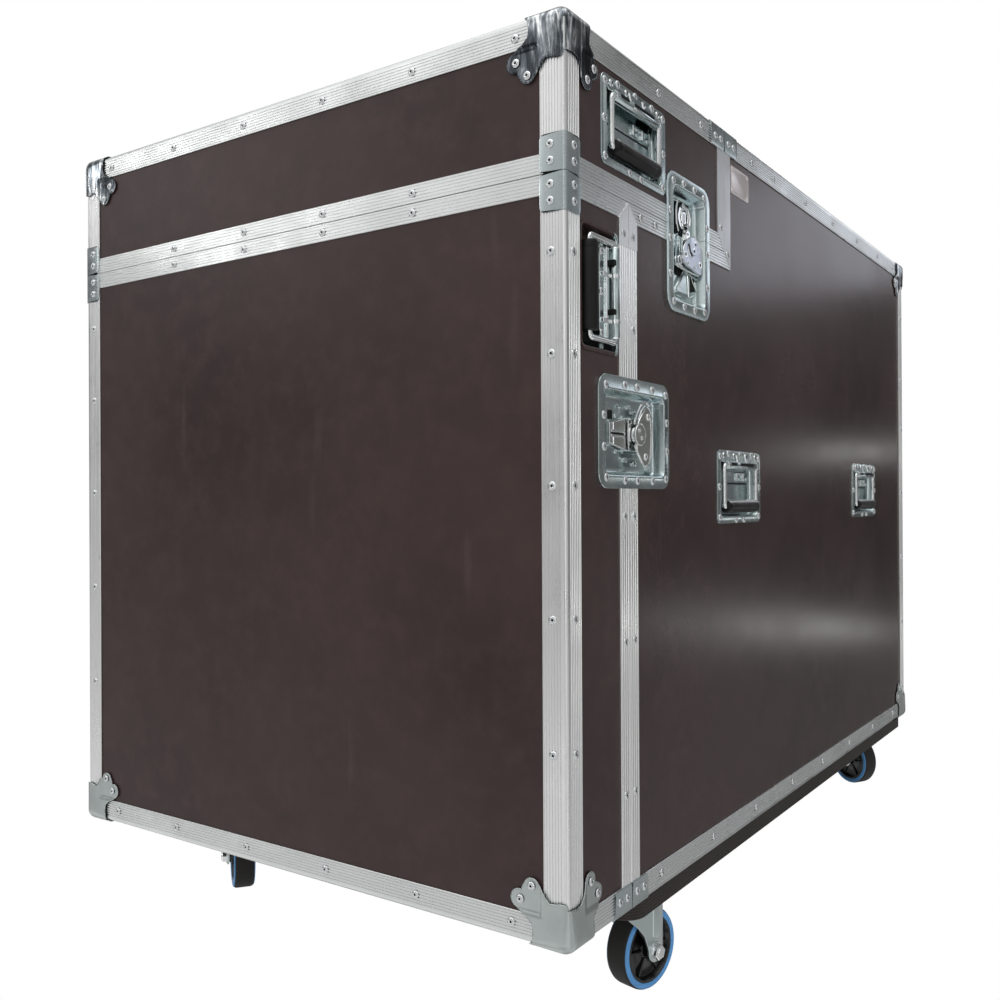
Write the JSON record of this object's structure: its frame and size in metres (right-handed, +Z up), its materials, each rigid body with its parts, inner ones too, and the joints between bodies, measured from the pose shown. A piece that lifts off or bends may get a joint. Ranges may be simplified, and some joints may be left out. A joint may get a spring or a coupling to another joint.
{
  "type": "equipment rack case",
  "caption": "Wheeled plywood equipment rack case with aluminium edging, a lift-off lid, a pull-off front cover, folding handles and twist latches.",
  "frame": {"origin": "on the floor under the centre of the box", "axes": "+Z up, -Y out of the removable front cover, +X to the right seen from the front"},
  "size_m": [0.841, 1.4066, 1.1113],
  "materials": {
    "film_ply": "satin",
    "aluminium": "satin",
    "zinc_steel": "satin",
    "bright_steel": "gloss",
    "black_rubber": "matte",
    "blue_tyre": "satin",
    "foam": "matte",
    "plinth_ply": "satin",
    "rail_steel": "satin",
    "label_blank": "satin"
  },
  "bodies": {
    "root": {"side_panels": "film_ply", "back_panel": "film_ply", "floor_panel": "film_ply", "top_panel": "film_ply", "deck_board": "film_ply", "rack_bulkheads": "film_ply", "rack_rails": "rail_steel", "body_edge_angles": "aluminium", "body_seam_extrusions": "aluminium", "body_corner_plates": "bright_steel", "body_handle_dishes": "zinc_steel", "body_latch_dishes": "zinc_steel", "body_rivets": "bright_steel", "plinth_board": "plinth_ply", "castor_plates": "zinc_steel", "label_plate": "label_blank"},
    "lid": {"lid_panels": "film_ply", "lid_extrusions": "aluminium", "lid_corner_plates": "bright_steel", "lid_dishes": "zinc_steel", "lid_rivets": "bright_steel", "lid_foam": "foam"},
    "front_cover": {"cover_panels": "film_ply", "cover_extrusions": "aluminium", "cover_corner_plates": "bright_steel", "cover_dishes": "zinc_steel", "cover_rivets": "bright_steel", "cover_foam": "foam"},
    "handle_front_right": {"handle_front_right_bail": "bright_steel", "handle_front_right_grip": "black_rubber"},
    "handle_front_left": {"handle_front_left_bail": "bright_steel", "handle_front_left_grip": "black_rubber"},
    "handle_rear_right": {"handle_rear_right_bail": "bright_steel", "handle_rear_right_grip": "black_rubber"},
    "handle_rear_left": {"handle_rear_left_bail": "bright_steel", "handle_rear_left_grip": "black_rubber"},
    "lid_handle_right": {"lid_handle_right_bail": "bright_steel", "lid_handle_right_grip": "black_rubber"},
    "lid_handle_left": {"lid_handle_left_bail": "bright_steel", "lid_handle_left_grip": "black_rubber"},
    "cover_handle_right": {"cover_handle_right_bail": "bright_steel", "cover_handle_right_grip": "black_rubber"},
    "cover_handle_left": {"cover_handle_left_bail": "bright_steel", "cover_handle_left_grip": "black_rubber"},
    "side_latch_right_butterfly": {"side_latch_right_butterfly": "bright_steel"},
    "side_latch_right_hook": {"side_latch_right_hook": "zinc_steel"},
    "side_latch_left_butterfly": {"side_latch_left_butterfly": "bright_steel"},
    "side_latch_left_hook": {"side_latch_left_hook": "zinc_steel"},
    "lid_latch_right_butterfly": {"lid_latch_right_butterfly": "bright_steel"},
    "lid_latch_right_hook": {"lid_latch_right_hook": "zinc_steel"},
    "lid_latch_left_butterfly": {"lid_latch_left_butterfly": "bright_steel"},
    "lid_latch_left_hook": {"lid_latch_left_hook": "zinc_steel"},
    "castor_front_right_fork": {"castor_front_right_fork": "zinc_steel"},
    "castor_front_right_wheel": {"castor_front_right_wheel": "blue_tyre"},
    "castor_front_left_fork": {"castor_front_left_fork": "zinc_steel"},
    "castor_front_left_wheel": {"castor_front_left_wheel": "blue_tyre"},
    "castor_rear_right_fork": {"castor_rear_right_fork": "zinc_steel"},
    "castor_rear_right_wheel": {"castor_rear_right_wheel": "blue_tyre"},
    "castor_rear_left_fork": {"castor_rear_left_fork": "zinc_steel"},
    "castor_rear_left_wheel": {"castor_rear_left_wheel": "blue_tyre"}
  },
  "joints": [
    {"name": "lid_lift", "type": "slide", "parent": "root", "child": "lid", "axis": [0, 0, 1], "range_m": [0, 0.25]},
    {"name": "cover_pull", "type": "slide", "parent": "root", "child": "front_cover", "axis": [0, -1, 0], "range_m": [0, 0.25]},
    {"name": "handle_front_right_hinge", "type": "hinge", "parent": "root", "child": "handle_front_right", "pos_m": [0.41, -0.2315, 0.6555], "axis": [0, -1, 0], "range_deg": [0, 90], "stiffness_Nm_per_rad": 0.05},
    {"name": "handle_front_left_hinge", "type": "hinge", "parent": "root", "child": "handle_front_left", "pos_m": [-0.41, -0.2315, 0.6555], "axis": [0, 1, 0], "range_deg": [0, 90], "stiffness_Nm_per_rad": 0.05},
    {"name": "handle_rear_right_hinge", "type": "hinge", "parent": "root", "child": "handle_rear_right", "pos_m": [0.41, 0.398, 0.6555], "axis": [0, -1, 0], "range_deg": [0, 90], "stiffness_Nm_per_rad": 0.05},
    {"name": "handle_rear_left_hinge", "type": "hinge", "parent": "root", "child": "handle_rear_left", "pos_m": [-0.41, 0.398, 0.6555], "axis": [0, 1, 0], "range_deg": [0, 90], "stiffness_Nm_per_rad": 0.05},
    {"name": "lid_handle_right_hinge", "type": "hinge", "parent": "lid", "child": "lid_handle_right", "pos_m": [0.41, -0.5435, 1.0515], "axis": [0, -1, 0], "range_deg": [0, 90], "stiffness_Nm_per_rad": 0.05},
    {"name": "lid_handle_left_hinge", "type": "hinge", "parent": "lid", "child": "lid_handle_left", "pos_m": [-0.41, -0.5435, 1.0515], "axis": [0, 1, 0], "range_deg": [0, 90], "stiffness_Nm_per_rad": 0.05},
    {"name": "cover_handle_right_hinge", "type": "hinge", "parent": "front_cover", "child": "cover_handle_right", "pos_m": [0.41, -0.596, 0.834], "axis": [0, 0, 1], "range_deg": [0, 90], "stiffness_Nm_per_rad": 0.05},
    {"name": "cover_handle_left_hinge", "type": "hinge", "parent": "front_cover", "child": "cover_handle_left", "pos_m": [-0.41, -0.596, 0.834], "axis": [0, 0, -1], "range_deg": [0, 90], "stiffness_Nm_per_rad": 0.05},
    {"name": "side_latch_right_twist", "type": "hinge", "parent": "root", "child": "side_latch_right_butterfly", "pos_m": [0.402, -0.535, 0.683], "axis": [1, 0, 0], "range_deg": [0, 180]},
    {"name": "side_latch_right_draw", "type": "slide", "parent": "root", "child": "side_latch_right_hook", "axis": [0, -1, 0], "range_m": [0, 0.012]},
    {"name": "side_latch_left_twist", "type": "hinge", "parent": "root", "child": "side_latch_left_butterfly", "pos_m": [-0.402, -0.535, 0.683], "axis": [1, 0, 0], "range_deg": [0, 180]},
    {"name": "side_latch_left_draw", "type": "slide", "parent": "root", "child": "side_latch_left_hook", "axis": [0, -1, 0], "range_m": [0, 0.012]},
    {"name": "lid_latch_right_twist", "type": "hinge", "parent": "root", "child": "lid_latch_right_butterfly", "pos_m": [0.402, -0.383, 0.93], "axis": [-1, 0, 0], "range_deg": [0, 120]},
    {"name": "lid_latch_right_draw", "type": "slide", "parent": "root", "child": "lid_latch_right_hook", "axis": [0, 0, 1], "range_m": [0, 0.008]},
    {"name": "lid_latch_left_twist", "type": "hinge", "parent": "root", "child": "lid_latch_left_butterfly", "pos_m": [-0.402, -0.383, 0.93], "axis": [-1, 0, 0], "range_deg": [0, 120]},
    {"name": "lid_latch_left_draw", "type": "slide", "parent": "root", "child": "lid_latch_left_hook", "axis": [0, 0, 1], "range_m": [0, 0.008]},
    {"name": "castor_front_right_swivel", "type": "hinge", "parent": "root", "child": "castor_front_right_fork", "pos_m": [0.348, -0.469, 0.115], "axis": [0, 0, 1], "continuous": true},
    {"name": "castor_front_right_spin", "type": "hinge", "parent": "castor_front_right_fork", "child": "castor_front_right_wheel", "pos_m": [0.35548, -0.43379, 0.05], "axis": [-0.9781, 0.2079, 0], "continuous": true},
    {"name": "castor_front_left_swivel", "type": "hinge", "parent": "root", "child": "castor_front_left_fork", "pos_m": [-0.348, -0.469, 0.115], "axis": [0, 0, 1], "continuous": true},
    {"name": "castor_front_left_spin", "type": "hinge", "parent": "castor_front_left_fork", "child": "castor_front_left_wheel", "pos_m": [-0.31906, -0.49041, 0.05], "axis": [0.5948, 0.8039, 0], "continuous": true},
    {"name": "castor_rear_right_swivel", "type": "hinge", "parent": "root", "child": "castor_rear_right_fork", "pos_m": [0.348, 0.635, 0.115], "axis": [0, 0, 1], "continuous": true},
    {"name": "castor_rear_right_spin", "type": "hinge", "parent": "castor_rear_right_fork", "child": "castor_rear_right_wheel", "pos_m": [0.31667, 0.65273, 0.05], "axis": [-0.4924, -0.8704, 0], "continuous": true},
    {"name": "castor_rear_left_swivel", "type": "hinge", "parent": "root", "child": "castor_rear_left_fork", "pos_m": [-0.348, 0.635, 0.115], "axis": [0, 0, 1], "continuous": true},
    {"name": "castor_rear_left_spin", "type": "hinge", "parent": "castor_rear_left_fork", "child": "castor_rear_left_wheel", "pos_m": [-0.31511, 0.64964, 0.05], "axis": [-0.4067, 0.9135, 0], "continuous": true}
  ],
  "couplings": [
    {"joint": "side_latch_right_draw", "follows": "side_latch_right_twist", "m_per_rad": 0.0038197},
    {"joint": "side_latch_left_draw", "follows": "side_latch_left_twist", "m_per_rad": 0.0038197},
    {"joint": "lid_latch_right_draw", "follows": "lid_latch_right_twist", "m_per_rad": 0.0038197},
    {"joint": "lid_latch_left_draw", "follows": "lid_latch_left_twist", "m_per_rad": 0.0038197}
  ]
}
